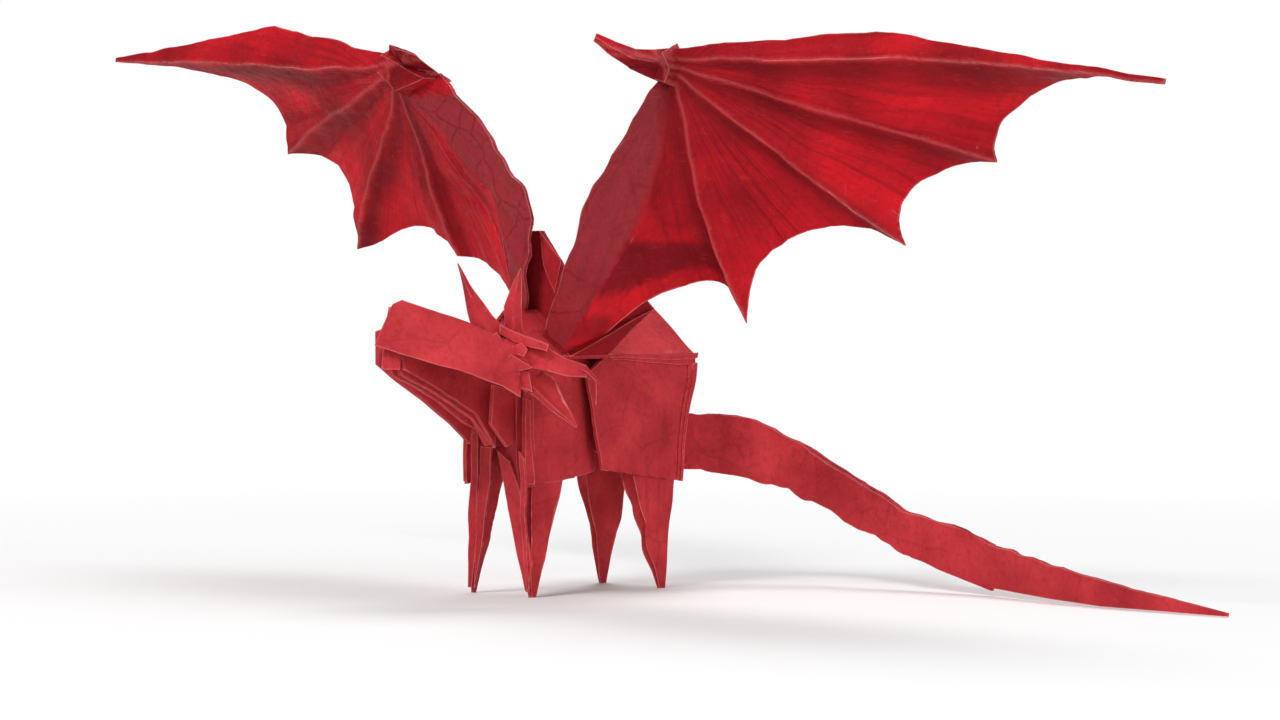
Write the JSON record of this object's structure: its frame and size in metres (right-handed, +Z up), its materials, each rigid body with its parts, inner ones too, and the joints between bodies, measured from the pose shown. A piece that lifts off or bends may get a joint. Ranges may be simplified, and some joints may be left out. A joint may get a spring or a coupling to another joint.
{
  "type": "origami dragon",
  "caption": "Standing winged dragon folded from a sheet of red paper, with scalloped wings, pointed legs, a pleated neck, a horned beaked head and a tail swung round to its side.",
  "frame": {"origin": "on the floor under the feet, below the middle of the figure's box", "axes": "+X to the dragon's left, along the wings; +Y to its back; +Z up"},
  "size_m": [0.334, 0.1114, 0.1268],
  "materials": {
    "paper": "matt craft paper"
  },
  "bodies": {
    "root": {"folded_dragon": "paper"}
  },
  "joints": []
}
